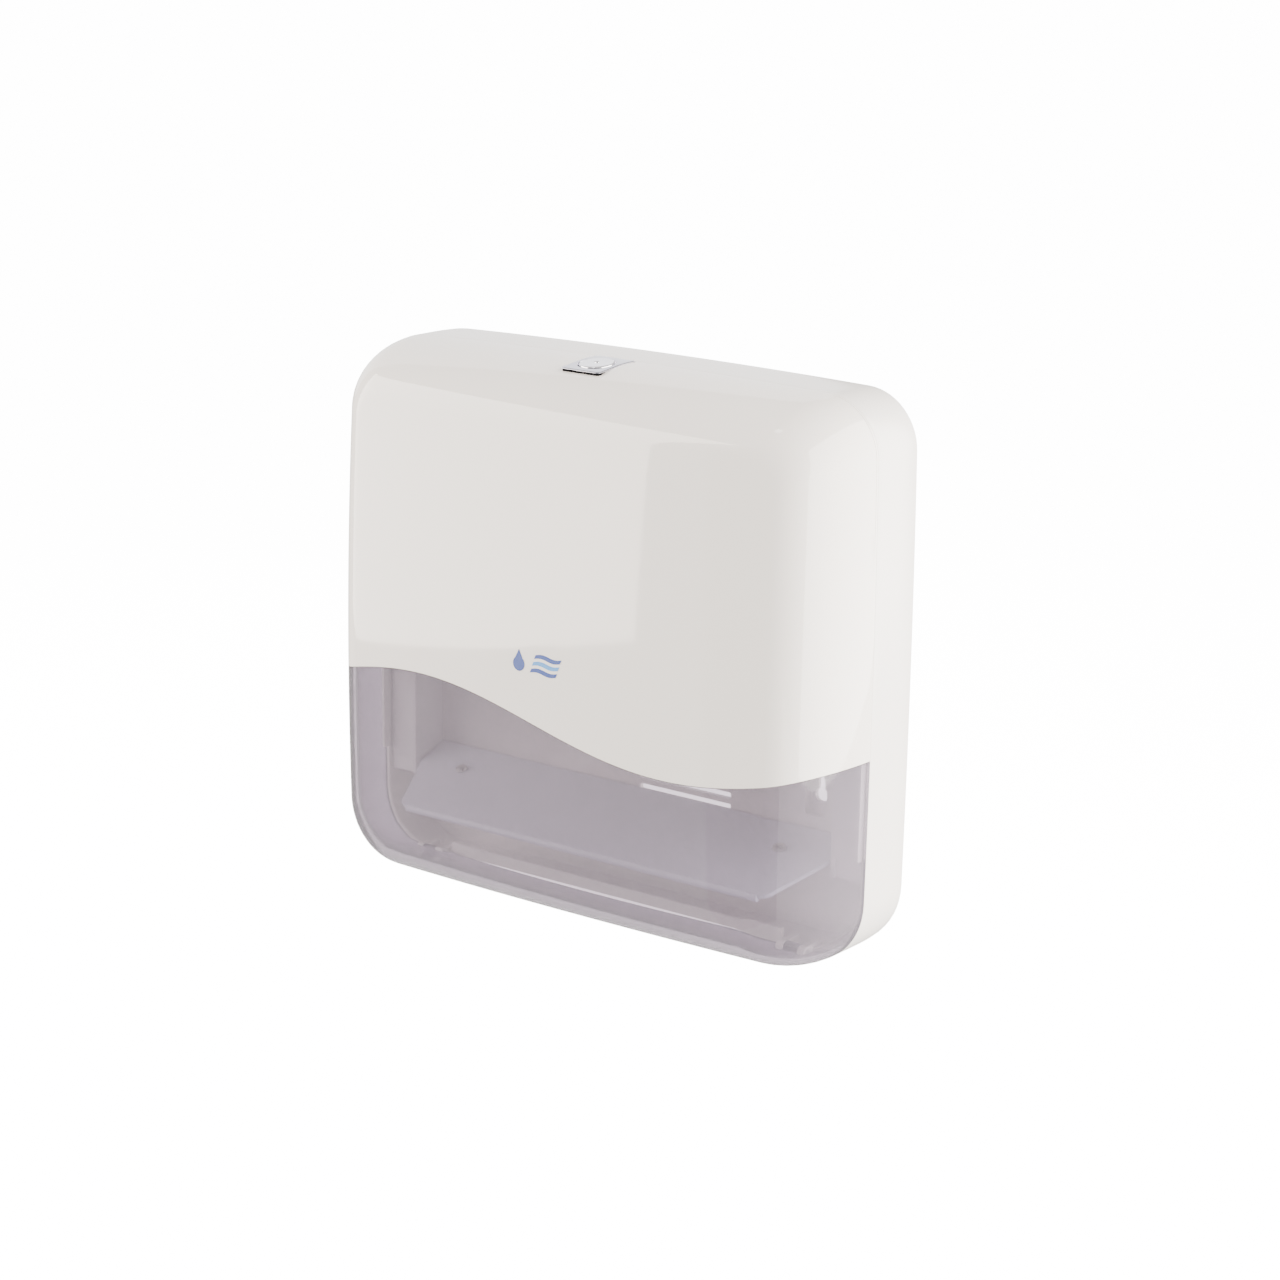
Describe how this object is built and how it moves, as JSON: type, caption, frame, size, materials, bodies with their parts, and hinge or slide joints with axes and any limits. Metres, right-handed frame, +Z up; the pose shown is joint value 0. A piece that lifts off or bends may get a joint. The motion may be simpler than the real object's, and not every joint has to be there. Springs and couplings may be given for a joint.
{
  "type": "folded paper towel dispenser",
  "caption": "Wall-mounted dispenser for folded paper hand towels: white back shell, drop-down cover with a smoke window below a wave line, and a push-button latch on top.",
  "frame": {"origin": "middle of the flat pad on the back of the shell that rests on the wall", "axes": "+X to the right seen from the front, +Y into the wall, +Z up"},
  "size_m": [0.29, 0.0886, 0.2663],
  "materials": {
    "white_cover": "satin white ABS",
    "white_shell": "satin white ABS",
    "inner_plastic": "matt white ABS",
    "smoke_window": "translucent grey-mauve",
    "lock_plate": "satin chrome plating",
    "button_metal": "satin chrome plating",
    "screw_zinc": "zinc plated",
    "sheet_steel": "plain",
    "spring_wire": "drawn wire",
    "grey_plastic": "moulded acetal",
    "blue_print": "printed label"
  },
  "bodies": {
    "wall_unit": {"back_shell": "white_shell", "towel_guide_left": "inner_plastic", "towel_guide_right": "inner_plastic", "guide_screw_left_1": "screw_zinc", "guide_screw_left_2": "screw_zinc", "guide_screw_right_1": "screw_zinc", "guide_screw_right_2": "screw_zinc", "towel_tray": "inner_plastic", "tray_screw_left": "screw_zinc", "tray_screw_right": "screw_zinc", "catch_bracket": "sheet_steel", "catch_screw_left": "screw_zinc", "catch_screw_right": "screw_zinc", "hinge_pin_left": "screw_zinc", "hinge_pin_right": "screw_zinc"},
    "cover": {"cover_shell": "white_cover", "window": "smoke_window", "window_clip_1": "sheet_steel", "window_clip_2": "sheet_steel", "window_clip_3": "sheet_steel", "window_clip_4": "sheet_steel", "lock_escutcheon": "lock_plate", "emblem": "blue_print", "latch_housing": "grey_plastic", "housing_screw_left": "screw_zinc", "housing_screw_right": "screw_zinc", "latch_pin": "screw_zinc", "button_spring": "spring_wire"},
    "button": {"lock_button": "button_metal", "stem_clip": "sheet_steel"},
    "lever": {"latch_lever": "grey_plastic"}
  },
  "joints": [
    {"name": "cover_hinge", "type": "hinge", "parent": "wall_unit", "child": "cover", "pos_m": [0, -0.0374, -0.12955], "axis": [1, 0, 0], "range_deg": [0, 90]},
    {"name": "button_press", "type": "slide", "parent": "cover", "child": "button", "axis": [0, 0.1132, -0.9936], "range_m": [0, 0.003], "stiffness_N_per_m": 600, "springref_m": -0.002, "deforming": ["button_spring"]},
    {"name": "latch_turn", "type": "hinge", "parent": "cover", "child": "lever", "pos_m": [0, -0.03526, 0.11631], "axis": [1, 0, 0], "range_deg": [0, 15.2]}
  ],
  "couplings": [
    {"joint": "latch_turn", "follows": "button_press", "rad_per_m": 86.957}
  ]
}
